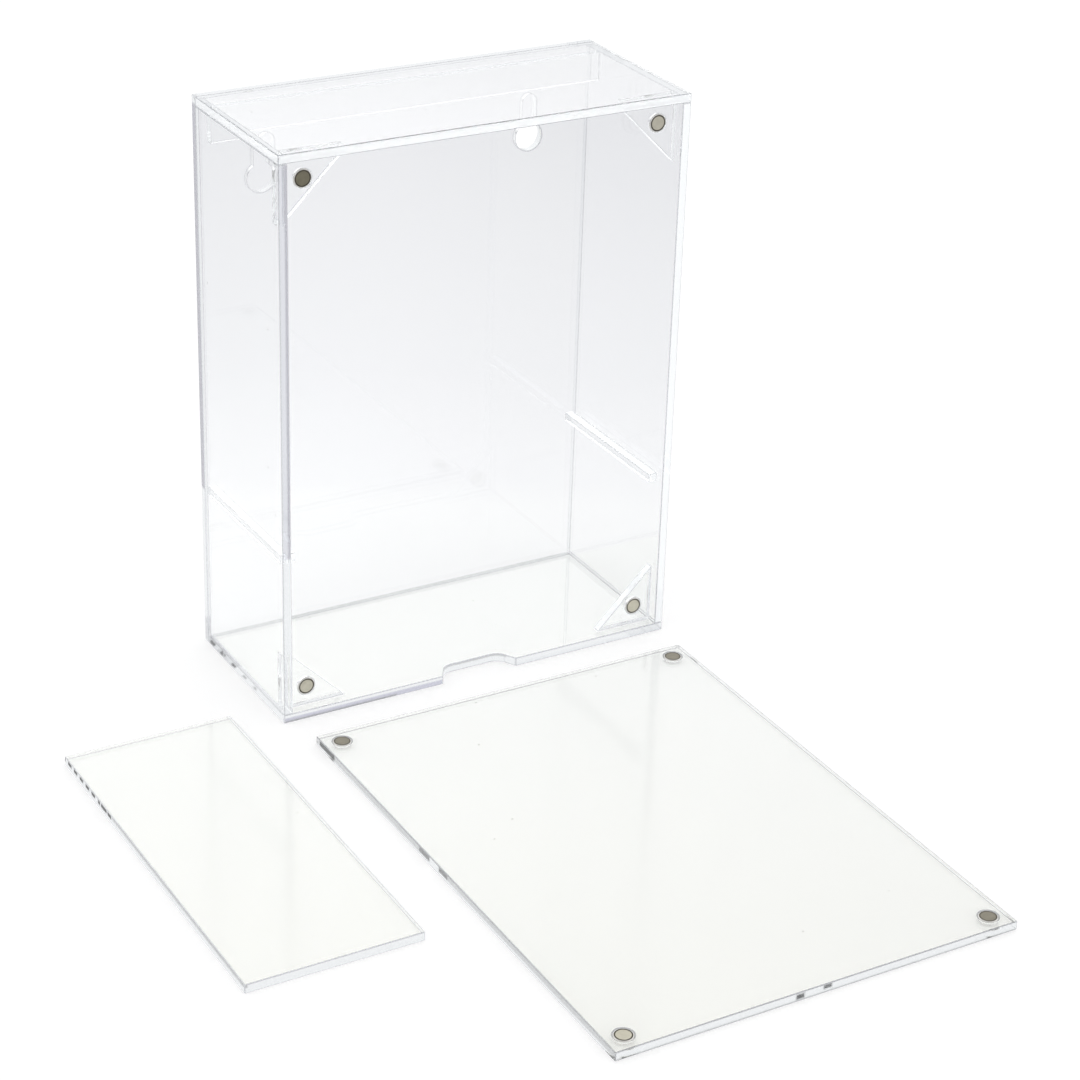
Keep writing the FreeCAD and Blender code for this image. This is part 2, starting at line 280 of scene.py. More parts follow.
def feed(links, socket, value):
    """Link a socket to another one, or set it to a plain value."""
    if isinstance(value, bpy.types.NodeSocket):
        links.new(value, socket)
    elif value is not None:
        socket.default_value = value


def maths(nodes, links, operation, first, second=None, third=None):
    """A Math node fed by sockets or plain numbers."""
    node = nodes.new("ShaderNodeMath")
    node.operation = operation
    for index, value in enumerate((first, second, third)):
        feed(links, node.inputs[index], value)
    return node.outputs[0]


def vector_maths(nodes, links, operation, first, second=None, out="Vector"):
    """A Vector Math node fed by sockets or plain vectors."""
    node = nodes.new("ShaderNodeVectorMath")
    node.operation = operation
    feed(links, node.inputs[0], first)
    feed(links, node.inputs[1], second)
    return node.outputs[out]


def parts_of(nodes, links, vector):
    """The three numbers of a vector."""
    split = nodes.new("ShaderNodeSeparateXYZ")
    links.new(vector, split.inputs[0])
    return split.outputs


def noise(nodes, links, vector, scale, detail=2.0):
    """A Noise Texture's own mask."""
    node = nodes.new("ShaderNodeTexNoise")
    node.inputs["Scale"].default_value = scale
    node.inputs["Detail"].default_value = detail
    links.new(vector, node.inputs["Vector"])
    return node.outputs["Fac"]


# %% Specks and wiping marks
MOST_CELLS = 0.8
specks, nodes, links, start, end = new_group(
    "specks", [("Spacing", 0.012), ("Size", 0.04)], ["Mask", "Haze"]
)
scale = maths(nodes, links, "DIVIDE", 1.0, start.outputs["Spacing"])
dots = nodes.new("ShaderNodeTexVoronoi")
links.new(start.outputs["Vector"], dots.inputs["Vector"])
links.new(scale, dots.inputs["Scale"])
near = maths(
    nodes, links, "LESS_THAN", dots.outputs["Distance"], start.outputs["Size"]
)
split = nodes.new("ShaderNodeSeparateColor")
links.new(dots.outputs["Color"], split.inputs[0])
rare = maths(nodes, links, "GREATER_THAN", split.outputs[0], MOST_CELLS)
links.new(maths(nodes, links, "MULTIPLY", near, rare), end.inputs["Mask"])
cloud = noise(nodes, links, start.outputs["Vector"], 18.0, 3.0)
links.new(cloud, end.inputs["Haze"])
print("group:", specks.name)

# %% Lines left by the laser's pulses
cut_lines, nodes, links, start, end = new_group(
    "cut_lines", [("Pitch", 0.0006), ("Uneven", 0.5)], ["Height"]
)
x, y, z = parts_of(nodes, links, start.outputs["Vector"])
run = maths(nodes, links, "ADD", x, y)
run = maths(nodes, links, "ADD", run, z)
turns = maths(nodes, links, "DIVIDE", run, start.outputs["Pitch"])
turns = maths(nodes, links, "MULTIPLY", turns, 2 * math.pi)
ridge = maths(nodes, links, "SINE", turns)
wander = noise(nodes, links, start.outputs["Vector"], 900.0)
rough = maths(nodes, links, "MULTIPLY", wander, start.outputs["Uneven"])
links.new(maths(nodes, links, "ADD", ridge, rough), end.inputs["Height"])
print("group:", cut_lines.name)

# %% Marks inside a box, for smoke dashes, painted shade and painted reflections
marks_group, nodes, links, start, end = new_group(
    "marks_in_a_box",
    [("Pitch", 1.0), ("Fill", 1.0), ("Skew", 0.0), ("Soft", 0.0005)],
    ["Mask"],
)
for label in ("Low", "High"):
    marks_group.interface.new_socket(
        label, in_out="INPUT", socket_type="NodeSocketVector"
    )
room_left = []
for first, second in (("Vector", "Low"), ("High", "Vector")):
    gap = vector_maths(
        nodes, links, "SUBTRACT", start.outputs[first], start.outputs[second]
    )
    room_left += parts_of(nodes, links, gap)
least = room_left[0]
for other in room_left[1:]:
    least = maths(nodes, links, "MINIMUM", least, other)
inside = maths(nodes, links, "DIVIDE", least, start.outputs["Soft"])
inside = maths(nodes, links, "MAXIMUM", inside, 0.0)
inside = maths(nodes, links, "MINIMUM", inside, 1.0)
x, y, z = parts_of(nodes, links, start.outputs["Vector"])
along = maths(nodes, links, "MULTIPLY_ADD", z, start.outputs["Skew"], y)
step = maths(nodes, links, "DIVIDE", along, start.outputs["Pitch"])
wave = maths(nodes, links, "FRACT", step)
dash = maths(nodes, links, "LESS_THAN", wave, start.outputs["Fill"])
links.new(maths(nodes, links, "MULTIPLY", inside, dash), end.inputs["Mask"])
print("group:", marks_group.name)

# %% [markdown]
# ## The clear finishes
# All clear finishes are glass in Cycles: full transmission and acrylic's
# refraction of 1.49. Light that has bounced inside a sheet many times would
# be cut off and turn black, while in the real sheet it leaves as soft white
# light from all round the room, so a deep path ends in a white glow.
# Shadow rays pass straight through, so the shadows stay soft and pale.

# %% A start for every clear finish
ACRYLIC_IOR = 1.49
MOST_TURNS = 3.5
MOST_STEPS = 9.5
LEFT_OVER = (0.90, 0.915, 0.93, 1)
SHADE_TINT = (0.975, 0.98, 0.98, 1)


def new_material(name):
    """A material with a Principled shader, and its node tree."""
    material = bpy.data.materials.new(name)
    material.use_nodes = True
    tree = material.node_tree
    return material, tree.nodes["Principled BSDF"], tree.nodes, tree.links


def object_place(nodes):
    """Where a point lies on its object, which stays with it when it moves."""
    return nodes.new("ShaderNodeTexCoord").outputs["Object"]


def place_group(nodes, links, group, vector, **values):
    """Put a node group into a material with its own values."""
    node = nodes.new("ShaderNodeGroup")
    node.node_tree = group
    links.new(vector, node.inputs["Vector"])
    for label, value in values.items():
        node.inputs[label].default_value = value
    return node


def clear_start(name, roughness):
    """Glass that casts a pale shadow and never ends in black."""
    material, shader, nodes, links = new_material(name)
    shader.inputs["Roughness"].default_value = roughness
    shader.inputs["IOR"].default_value = ACRYLIC_IOR
    shader.inputs["Transmission Weight"].default_value = 1
    path = nodes.new("ShaderNodeLightPath")
    through = nodes.new("ShaderNodeBsdfTransparent")
    through.inputs["Color"].default_value = SHADE_TINT
    glow = nodes.new("ShaderNodeEmission")
    glow.inputs["Color"].default_value = LEFT_OVER
    turned = maths(
        nodes, links, "GREATER_THAN", path.outputs["Glossy Depth"], MOST_TURNS
    )
    deep = maths(
        nodes, links, "GREATER_THAN", path.outputs["Ray Depth"], MOST_STEPS
    )
    ends = maths(nodes, links, "MAXIMUM", turned, deep)
    first = nodes.new("ShaderNodeMixShader")
    links.new(ends, first.inputs["Fac"])
    links.new(shader.outputs["BSDF"], first.inputs[1])
    links.new(glow.outputs["Emission"], first.inputs[2])
    second = nodes.new("ShaderNodeMixShader")
    links.new(path.outputs["Is Shadow Ray"], second.inputs["Fac"])
    links.new(first.outputs["Shader"], second.inputs[1])
    links.new(through.outputs["BSDF"], second.inputs[2])
    surface = nodes["Material Output"].inputs["Surface"]
    links.new(second.outputs["Shader"], surface)
    return material, shader, nodes, links, object_place(nodes)


def mix_colour(nodes, links, mask, first, second, blend="MIX"):
    """Mix or multiply two colours; each is a colour or a socket."""
    mix = nodes.new("ShaderNodeMix")
    mix.data_type = "RGBA"
    mix.blend_type = blend
    feed(links, mix.inputs["Factor"], mask)
    feed(links, mix.inputs["A"], first)
    feed(links, mix.inputs["B"], second)
    return mix.outputs["Result"]


def hazed(nodes, links, place, light, dark):
    """A tint that wanders between two colours as wiping marks do."""
    haze = place_group(nodes, links, specks, place)
    return mix_colour(nodes, links, haze.outputs["Haze"], light, dark)


def add_bump(nodes, links, shader, height, strength, distance):
    """Let a height shape the shader's normal."""
    bump = nodes.new("ShaderNodeBump")
    bump.inputs["Strength"].default_value = strength
    bump.inputs["Distance"].default_value = distance
    links.new(height, bump.inputs["Height"])
    links.new(bump.outputs["Normal"], shader.inputs["Normal"])


# %% Polished faces
CLEAR = (0.998, 0.999, 0.999, 1)
HAZY = (0.984, 0.989, 0.990, 1)
DUST = (0.62, 0.62, 0.60, 1)


def face_finish(name, roughness, film):
    """A polished face with dust; film is how much of it is a white haze."""
    material, shader, nodes, links, place = clear_start(name, roughness)
    dust = place_group(nodes, links, specks, place, Spacing=0.011, Size=0.035)
    tint = mix_colour(nodes, links, dust.outputs["Haze"], CLEAR, HAZY)
    tint = mix_colour(nodes, links, dust.outputs["Mask"], tint, DUST)
    links.new(tint, shader.inputs["Base Color"])
    shader.inputs["Transmission Weight"].default_value = 1 - film
    return material


clean_face = face_finish("clean_face", roughness=0.0, film=0.0)
lying_face = face_finish("lying_face", roughness=0.12, film=0.0)
hazy_face = face_finish("hazy_face", roughness=0.0, film=0.10)
print("finishes:", clean_face.name, lying_face.name, hazy_face.name)

# %% Cut sides, one finish for each way that a sheet can lie
CUT_PITCH, CUT_ROUGHNESS = 0.7 * MM, 0.06
# The plain cut sides are partly white and glow a little: painted light for the light that
# a sheet guides in from the room.
GLOW_FILM = 0.3
GUIDED_LIGHT = 0.14
EDGE_CLEAR = (0.97, 0.98, 0.985, 1)
EDGE_DULL = (0.90, 0.915, 0.92, 1)
# Soot serves for black dashes and also for painted shade and painted reflections; grey,
# dusk and lilac are painted shade.
SOOT_AND_SHADE = (0.0006, 0.0006, 0.0005, 1)
SHADE_GREY = (0.15, 0.15, 0.145, 1)
SHADE_DUSK = (0.33, 0.32, 0.37, 1)
SHADE_LILAC = (0.44, 0.43, 0.55, 1)


def cut_side(name, thin, marks=(), film=0.0):
    """The side of a sheet that is thin along one axis, with its smoke dashes and painted
    shade.
    """
    material, shader, nodes, links, place = clear_start(name, CUT_ROUGHNESS)
    run = [float(axis != thin) for axis in AXES]
    flat = vector_maths(nodes, links, "MULTIPLY", place, run)
    lines = place_group(nodes, links, cut_lines, flat, Pitch=CUT_PITCH)
    add_bump(nodes, links, shader, lines.outputs["Height"], 0.25, 0.02 * MM)
    tint = hazed(nodes, links, place, EDGE_CLEAR, EDGE_DULL)
    # Each mark is a smoke dash, a band of painted shade or a painted reflection, mixed
    # into the side's colour.
    for colour, strength, values in marks:
        band_mask = place_group(nodes, links, marks_group, place, **values)
        amount = band_mask.outputs["Mask"]
        amount = maths(nodes, links, "MULTIPLY", amount, strength)
        tint = mix_colour(nodes, links, amount, tint, colour)
    links.new(tint, shader.inputs["Base Color"])
    shader.inputs["Transmission Weight"].default_value = 1 - film
    # With a film the side is partly white and glows, as painted light.
    if film:
        links.new(tint, shader.inputs["Emission Color"])
        shader.inputs["Emission Strength"].default_value = GUIDED_LIGHT
    return material


def mark(colour, strength, low, high, **values):
    """One kind of mark, in a box in millimetres; its values in metres. The marks are smoke
    dashes, painted shade and painted reflections.
    """
    box = {"Low": [v * MM for v in low], "High": [v * MM for v in high]}
    return colour, strength, {**box, **values}


glowing_sides = {
    axis: cut_side("glowing_side_" + axis.lower(), axis, film=GLOW_FILM)
    for axis in AXES
}
print("finishes:", [m.name for m in glowing_sides.values()])

# %% Broken edges, and where two pieces are glued
LINE_ROUGHNESS = 0.15


def edge_finish(name, light, dark):
    """The narrow broken edge of a sheet, tinted darker as painted shade so that it shows
    as a thin line.
    """
    material, shader, nodes, links, place = clear_start(name, LINE_ROUGHNESS)
    tint = hazed(nodes, links, place, light, dark)
    links.new(tint, shader.inputs["Base Color"])
    return material


def glue_finish(name, light, dark):
    """Light goes straight on through a glued joint, and is dimmed a little."""
    material, shader, nodes, links = new_material(name)
    tint = hazed(nodes, links, object_place(nodes), light, dark)
    links.new(tint, shader.inputs["Base Color"])
    bond = nodes.new("ShaderNodeBsdfTransparent")
    links.new(tint, bond.inputs["Color"])
    links.new(bond.outputs["BSDF"], nodes["Material Output"].inputs["Surface"])
    return material


# Painted shade: the broken edges are tinted grey so that they show as dark lines.
dark_shade_line = edge_finish(
    "dark_shade_line", (0.40, 0.405, 0.42, 1), (0.22, 0.225, 0.235, 1)
)
soft_shade_line = edge_finish(
    "soft_shade_line", (0.62, 0.625, 0.65, 1), (0.40, 0.405, 0.43, 1)
)
pale_shade_line = edge_finish(
    "pale_shade_line", (0.95, 0.955, 0.97, 1), (0.80, 0.81, 0.83, 1)
)
clean_glue = glue_finish(
    "clean_glue", (0.99, 0.99, 0.99, 1), (0.94, 0.945, 0.95, 1)
)
grey_glue = glue_finish(
    "grey_glue", (0.88, 0.88, 0.89, 1), (0.74, 0.74, 0.75, 1)
)
print("lines:", dark_shade_line.name, soft_shade_line.name, pale_shade_line.name)
print("glue:", clean_glue.name, grey_glue.name)

# %% [markdown]
# ## Which faces get which finish
# The two big faces of a sheet are polished, the sides are cut, and the
# narrow strips between them are the broken edges. Where two pieces are
# glued the light passes straight on, so the faces that lie against another
# piece get the glue's finish. The faces are first divided along the outlines
# of the pieces that touch them.

# %% Dressing a sheet
LOOSE_SHEETS = ("door_panel", "shelf_plate")
CASE_SHEETS = [
    node
    for node in sorted(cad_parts)
    if not node.endswith("magnet") and node not in LOOSE_SHEETS
]
FACE, SIDE, LINE, JOINT, LAP = range(5)


def touching(node):
    """Boxes of the other case pieces that touch this one."""
    low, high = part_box(node)
    found = []
    for other in CASE_SHEETS:
        if other == node:
            continue
        o_low, o_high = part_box(other)
        if all(
            low[i] - TOUCH < o_high[i] and o_low[i] < high[i] + TOUCH
            for i in range(3)
        ):
            found.append((o_low, o_high))
    return found


def score_outlines(piece, node, boxes):
    """Divide the piece's faces along its neighbours' outlines."""
    low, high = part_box(node)
    for axis, index in AXES.items():
        places = {round(b[index], 6) for pair in boxes for b in pair}
        for at in sorted(places):
            if low[index] + BREAK < at < high[index] - BREAK:
                score(piece, axis, at)


def dress_sheet(piece, node, thin, face, side, line, joint):
    """Give each face its finish, by its normal, width and place."""
    boxes = touching(node) if node in CASE_SHEETS else []
    score_outlines(piece, node, boxes)
    mesh = piece.data
    for material in (face, side, line, joint, clean_glue):
        mesh.materials.append(material)
    glued = 0
    for polygon in mesh.polygons:
        points = [mesh.vertices[i].co for i in polygon.vertices]
        longest = max((a - b).length for a in points for b in points)
        out = polygon.center + polygon.normal * TOUCH
        flat = faces(polygon, thin)
        inside = any(
            all(lo[i] < out[i] < hi[i] for i in range(3)) for lo, hi in boxes
        )
        if polygon.area / longest < NARROW:
            polygon.material_index = LINE
        elif inside:
            polygon.material_index = LAP if flat else JOINT
            glued += 1
        elif flat:
            polygon.material_index = FACE
        else:
            polygon.material_index = SIDE
    return glued


def finish_sheet(
    piece, node, body, thin, marks=(),
    line=soft_shade_line, joint=clean_glue, face=clean_face,
):
    """Break the edges, dress the sheet and let it stand for its node."""
    break_edges(piece)
    if marks:
        side = cut_side(node + "_side", thin, marks)
    else:
        side = glowing_sides[thin]
    glued = dress_sheet(piece, node, thin, face, side, line, joint)
    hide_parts(node)
    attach(piece, body)
    print(node, "faces:", len(piece.data.polygons), "glued:", glued)


# %% [markdown]
# ## The glued case
# Two walls stand on the bottom panel and carry the top panel. The header
# strip hangs under the top, a little in front of the back panel, and the two
# ledges carry the shelf. All of these are plain strips and sheets.

# %% Plain sheets and strips
# The front side of the left wall carries lilac and dusky bands of painted shade.
LEFT_WALL_SHADE = [
    mark(SHADE_LILAC, 1.0, (-71, -32, 57.6), (-66, -30.5, 186), Soft=0.001),
    mark(SHADE_DUSK, 1.0, (-68.4, -32, 57.6), (-66, -30.5, 186)),
]
for node, thin, marks, line, face in (
    ("left_wall", "X", LEFT_WALL_SHADE, soft_shade_line, clean_face),
    ("right_wall", "X", (), soft_shade_line, clean_face),
    ("top_panel", "Z", (), soft_shade_line, hazy_face),
    ("header_strip", "Y", (), pale_shade_line, clean_face),
    ("left_shelf_ledge", "X", (), pale_shade_line, clean_face),
    ("right_shelf_ledge", "X", (), pale_shade_line, clean_face),
):
    sheet = block(node + "_sheet", *hair_box(node))
    finish_sheet(sheet, node, "case", thin, marks, line, face=face)

# %% [markdown]
# ## The bottom panel
# A notch in the front edge lets a fingertip reach behind the door. It is a
# little wider at the mouth, with round inner corners. Its shape could be
# drawn as one outline, but a cutter with two bevelled edges is simpler.

# %% Bottom with its finger notch
NOTCH_BACK, NOTCH_MOUTH = 10.0 * MM, 13.5 * MM
NOTCH_DEPTH, NOTCH_ROUND = 6.0 * MM, 2.5 * MM
low, high = hair_box("bottom_panel")
bottom = block("bottom_panel_sheet", low, high)
cutter = block(
    "notch_cutter",
    (-NOTCH_BACK, low.y - NOTCH_DEPTH, low.z - MM),
    (NOTCH_BACK, low.y + NOTCH_DEPTH, high.z + MM),
)
edit_where(cutter, lambda v: v.co.y < low.y)
mouth = 2 * NOTCH_MOUTH / NOTCH_BACK - 1
bpy.ops.transform.resize(value=(mouth, 1, 1))
leave_edit()
corners = cutter.data.vertices


def inner_upright(edge):
    """Whether an edge stands upright at the notch's inner end."""
    a, b = (corners[i].co for i in edge.vertices)
    return abs(a.z - b.z) > MM and a.y > low.y


edit_where(cutter, inner_upright, "EDGE")
bpy.ops.mesh.bevel(offset=NOTCH_ROUND, segments=5, affect="EDGES")
leave_edit()
print("notch mouth in mm:", 2 * NOTCH_MOUTH / MM)
cut_away(bottom, cutter)
# Slanted black dashes run along the left side; the lilac and grey bands on the front side
# and the grey in the notch are painted shade.
SLANTED = {"Pitch": 0.0083, "Skew": 1.2}
BOTTOM_SOOT_AND_SHADE = [
    mark(SOOT_AND_SHADE, 0.95, (-71, 16, 0.4), (-69, 29, 2.8), Fill=0.42, **SLANTED),
    mark(SOOT_AND_SHADE, 0.92, (-71, 3, 0.6), (-69, 16, 2.6), Fill=0.36, **SLANTED),
    mark(SOOT_AND_SHADE, 0.8, (-71, -10, 0.8), (-69, 3, 2.4), Fill=0.3, **SLANTED),
    mark(SHADE_LILAC, 1.0, (-71, -32, -0.5), (-12, -30, 2.1)),
    mark(SHADE_GREY, 1.0, (-71, -32, -0.5), (-30, -30, 1.2), Soft=0.0008),
    mark(SHADE_LILAC, 0.2, (12, -32, -0.5), (71, -30, 1.6), Soft=0.0008),
    mark(SHADE_GREY, 0.7, (-12, -28, 1.9), (14, -22, 3.5)),
]
finish_sheet(
    bottom, "bottom_panel", "case", "Z", BOTTOM_SOOT_AND_SHADE, joint=grey_glue
)

# %% [markdown]
# ## The back panel
# Two keyholes near the top corners hang the case on a wall: a round hole
# for the screw's head, and a slot above it for its shank.

# %% Back with its keyholes
KEYHOLE_X, KEYHOLE_Z = 46.5 * MM, 159.0 * MM
HEAD_RADIUS, SHANK_RADIUS, TRAVEL = 4.75 * MM, 2.5 * MM, 9.5 * MM
THROUGH = 6 * MM
low, high = hair_box("back_panel")
back = block("back_panel_sheet", low, high)
middle = (low.y + high.y) / 2
for side in (-1, 1):
    x = side * KEYHOLE_X
    hole = (x, middle, KEYHOLE_Z)
    cut_away(back, rod("hole", hole, HEAD_RADIUS, THROUGH, "Y", 48))
    top = KEYHOLE_Z + TRAVEL
    slot_end = (x, middle, top)
    cut_away(back, rod("slot_top", slot_end, SHANK_RADIUS, THROUGH, "Y", 28))
    slot = block(
        "slot",
        (x - SHANK_RADIUS, low.y - MM, KEYHOLE_Z),
        (x + SHANK_RADIUS, high.y + MM, top),
    )
    cut_away(back, slot)
# The two dark patches on the left side, at the keyholes' height, are painted reflections
# of the keyholes, and the dusky band along that side is painted shade.
BACK_SHADE_AND_REFLECTIONS = [
    mark(SOOT_AND_SHADE, 1.0, (-71, 27, 163), (-69, 32, 168)),
    mark(SOOT_AND_SHADE, 1.0, (-71, 27, 149), (-69, 32, 153)),
    mark(SHADE_DUSK, 1.0, (-71, 27, 56), (-69, 32, 186), Soft=0.0008),
]
finish_sheet(back, "back_panel", "case", "Y", BACK_SHADE_AND_REFLECTIONS)

# %% [markdown]
# ## The gussets
# A triangle fills each front corner. It stiffens the mouth, holds a magnet
# in a round pocket and stops the door. Each is half of a square block.

# %% Gussets
POCKET_RADIUS, POCKET_DEPTH = 3.05 * MM, 2.0 * MM


def cut_pocket(piece, centre, axis):
    """A blind pocket for a magnet, about a point on the face it opens in."""
    length = 2 * (POCKET_DEPTH + 2 * HAIR)
    cut_away(piece, rod("seat", centre, POCKET_RADIUS, length, axis, 48))


for corner in CORNERS:
    node = corner + "_gusset"
    low, high = hair_box(node)
    piece = block(node + "_sheet", low, high)
    centre = (low + high) / 2
    right = 1 if "right" in corner else -1
    up = 1 if "upper" in corner else -1
    make_active(piece)
    bpy.ops.object.mode_set(mode="EDIT")
    bpy.ops.mesh.select_all(action="SELECT")
    bpy.ops.mesh.bisect(
        plane_co=centre, plane_no=(-right, 0, -up), use_fill=True,
        clear_outer=True,
    )
    leave_edit()
    magnet = middle_of(corner + "_case_magnet")
    cut_pocket(piece, (magnet.x, low.y, magnet.z), "Y")
    finish_sheet(piece, node, "case", "Y", line=pale_shade_line)

# %% [markdown]
# ## The door
# The door is one sheet with a blind pocket for a magnet in each corner. It lies on the
# table with the pockets up. Its left side is painted darker as shade, with black dashes in
# it. Two small black marks sit on its front side, and a grey band of painted shade runs
# along the bottom of that side.

# %% Door
low, high = hair_box("door_panel")
door = block("door_panel_sheet", low, high)
for corner in CORNERS:
    magnet = middle_of(corner + "_door_magnet")
    cut_pocket(door, (magnet.x, magnet.y, high.z), "Z")
# The grey bands are painted shade.
DOOR_SOOT_AND_SHADE = [
    mark(SHADE_GREY, 1.0, (-68, -123, 0.6), (-66, -46, 3.8), Soft=0.0008),
    mark(SHADE_GREY, 1.0, (-68, -229, 0.9), (-66, -128, 3.8), Soft=0.0008),
    mark(SOOT_AND_SHADE, 1.0, (-68, -60, 0.8), (-66, -49, 3.5)),
    mark(SOOT_AND_SHADE, 1.0, (-68, -123, 0.9), (-66, -116, 3.5), Soft=0.0006),
    mark(SOOT_AND_SHADE, 1.0, (-68, -134, 0.9), (-66, -128.5, 3.5), Soft=0.0006),
    mark(SOOT_AND_SHADE, 0.99, (-9.5, -229, 0.4), (-6, -227, 2.8), Soft=0.0007),
    mark(SOOT_AND_SHADE, 0.97, (-0.5, -229, 1.0), (3, -227, 3.2), Soft=0.0007),
    mark(SHADE_GREY, 0.8, (-68, -229, -0.5), (68, -227, 0.9)),
]
finish_sheet(
    door, "door_panel", "door", "Z", DOOR_SOOT_AND_SHADE, dark_shade_line, face=lying_face
)

# %% [markdown]
# ## The shelf
# A plain sheet. Smoke marks show as black dashes along the rear half of its left side, and
# a grey band of painted shade runs along the front half of that side.

# %% Shelf
SHORT_DASHES = {"Pitch": 0.0048, "Fill": 0.6}
LONG_DASHES = {"Pitch": 0.0052, "Fill": 0.85}
# The grey band is painted shade.
SHELF_SOOT_AND_SHADE = [
    mark(SOOT_AND_SHADE, 1.0, (-142, -50, 1.2), (-139, -23, 3.5), **SHORT_DASHES),
    mark(SOOT_AND_SHADE, 1.0, (-142, -61, 1.1), (-139, -50, 3.5), **LONG_DASHES),
    mark(SHADE_GREY, 0.8, (-142, -157, 1.6), (-139, -61, 3.5)),
]
shelf = block("shelf_plate_sheet", *hair_box("shelf_plate"))
finish_sheet(
    shelf, "shelf_plate", "shelf", "Z", SHELF_SOOT_AND_SHADE, soft_shade_line, face=lying_face
)

# %% [markdown]
# ## The magnets
# Eight nickel-plated discs, 6 mm across and 2 mm thick. Seen against a white room the
# plate looks dark and a little warm. Fine turning rings run round its flat face, with a
# ring of painted shade outside them and a rounded rim with a painted highlight. The door
# magnets and the upper left case magnet are painted darker as shade, and the upper left
# door magnet paler as painted light.

# %% Nickel
PLATE_ROUGHNESS = 0.3
rings, nodes, links, start, end = new_group(
    "rings", [("Pitch", 0.0004)], ["Height"]
)
reach = vector_maths(
    nodes, links, "LENGTH", start.outputs["Vector"], out="Value"
)
turns = maths(nodes, links, "DIVIDE", reach, start.outputs["Pitch"])
turns = maths(nodes, links, "MULTIPLY", turns, 2 * math.pi)
links.new(maths(nodes, links, "SINE", turns), end.inputs["Height"])


def nickel(name, centre, light, dark):
    """Plate that is worn unevenly, with rings about the disc's centre."""
    material, shader, nodes, links = new_material(name)
    place = object_place(nodes)
    worn = noise(nodes, links, place, 700.0, 4.0)
    tint = mix_colour(nodes, links, worn, light, dark)
    links.new(tint, shader.inputs["Base Color"])
    shader.inputs["Metallic"].default_value = 1
    shader.inputs["Roughness"].default_value = PLATE_ROUGHNESS
    about = nodes.new("ShaderNodeMapping")
    about.inputs["Location"].default_value = [-c for c in centre]
    links.new(place, about.inputs["Vector"])
    turned = place_group(nodes, links, rings, about.outputs["Vector"])
    add_bump(nodes, links, shader, turned.outputs["Height"], 0.15, 0.01 * MM)
    return material


# %% Magnets
MAGNET_RADIUS, MAGNET_THICKNESS = 3.0 * MM, 2 * MM
RIM, FLAT_RADIUS = 0.38 * MM, 2.2 * MM
# The door tints and the upper left case tint are painted shade, the upper left door tint
# painted light, the ring painted shade and the rim a painted highlight.
CASE_OLIVE = (0.66, 0.63, 0.53, 1), (0.44, 0.42, 0.34, 1)
DOOR_SHADED_OLIVE = (0.27, 0.25, 0.20, 1), (0.15, 0.14, 0.11, 1)
SHADED_BROWN = (0.26, 0.24, 0.18, 1), (0.15, 0.14, 0.10, 1)
LIT_BEIGE = (0.60, 0.57, 0.47, 1), (0.42, 0.40, 0.32, 1)
USUAL = {"case": CASE_OLIVE, "door": DOOR_SHADED_OLIVE}
LIT_AND_SHADED_ONES = {("upper_left", "case"): SHADED_BROWN, ("upper_left", "door"): LIT_BEIGE}
SHADE_RING = (0.10, 0.09, 0.07, 1), (0.045, 0.040, 0.032, 1)
RIM_HIGHLIGHT = (0.78, 0.77, 0.74, 1), (0.55, 0.54, 0.52, 1)
for corner in CORNERS:
    for body, axis in (("case", "Y"), ("door", "Z")):
        node = f"{corner}_{body}_magnet"
        centre = middle_of(node)
        disc = rod(
            node + "_disc", centre, MAGNET_RADIUS, MAGNET_THICKNESS, axis, 64
        )
        break_edges(disc, RIM, 3)
        edit_where(disc, lambda face: faces(face, axis), "FACE")
        bpy.ops.mesh.inset(
            thickness=MAGNET_RADIUS - RIM - FLAT_RADIUS, use_individual=True
        )
        leave_edit()
        flat = LIT_AND_SHADED_ONES.get((corner, body), USUAL[body])
        for label, tints in (("face", flat), ("ring", SHADE_RING), ("rim", RIM_HIGHLIGHT)):
            plate = nickel(f"{node}_{label}", centre, *tints)
            disc.data.materials.append(plate)
        for polygon in disc.data.polygons:
            if polygon.select:
                polygon.material_index = 0
            else:
                polygon.material_index = 1 if faces(polygon, axis) else 2
        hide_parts(node)
        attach(disc, body)
print("magnets:", 2 * len(CORNERS))

# %% [markdown]
# ## The studio
# A white table under a wide soft light. The table could be lit until it is
# white, but that would wash out the clear sheets, so it glows a little for
# rays that come from the camera or through the sheets, and keeps shadows.
# Seen through the sheets and in reflections its colour carries painted shade: it darkens a
# little under the case, door and shelf, more towards the back and to the right, and in
# reflections further from the case, which is what makes the upper part of the case look
# grey.

# %% Table
TABLE, TABLE_DROP = 30.0, 0.1 * MM
TABLE_COLOUR = (0.6, 0.6, 0.6, 1)
TABLE_GLOW, TABLE_ROUGHNESS = 0.45, 0.9
WHITE = (1, 1, 1, 1)
AWAY, ACROSS = (0.49, 0.87, 0.0), (0.87, -0.49, 0.0)
CASE_BACK = 0.030
deselect_all()
bpy.ops.mesh.primitive_plane_add(size=TABLE, location=(0, 0, -TABLE_DROP))
table = bpy.context.object
name_piece(table, "table")
table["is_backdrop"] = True


def colour_ramp(nodes, links, factor, stops):
    """A colour ramp, with its stops in the same unit as its factor."""
    first, last = stops[0][0], stops[-1][0]
    spread = maths(nodes, links, "SUBTRACT", factor, first)
    spread = maths(nodes, links, "DIVIDE", spread, last - first)
    ramp = nodes.new("ShaderNodeValToRGB")
    bar = ramp.color_ramp
    for index, (at, colour) in enumerate(stops):
        where = (at - first) / (last - first)
        if 0 < index < len(stops) - 1:
            stop = bar.elements.new(where)
        else:
            stop = bar.elements[0 if index == 0 else -1]
            stop.position = where
        stop.color = (*colour, 1)
    links.new(spread, ramp.inputs["Fac"])
    return ramp.outputs["Color"]


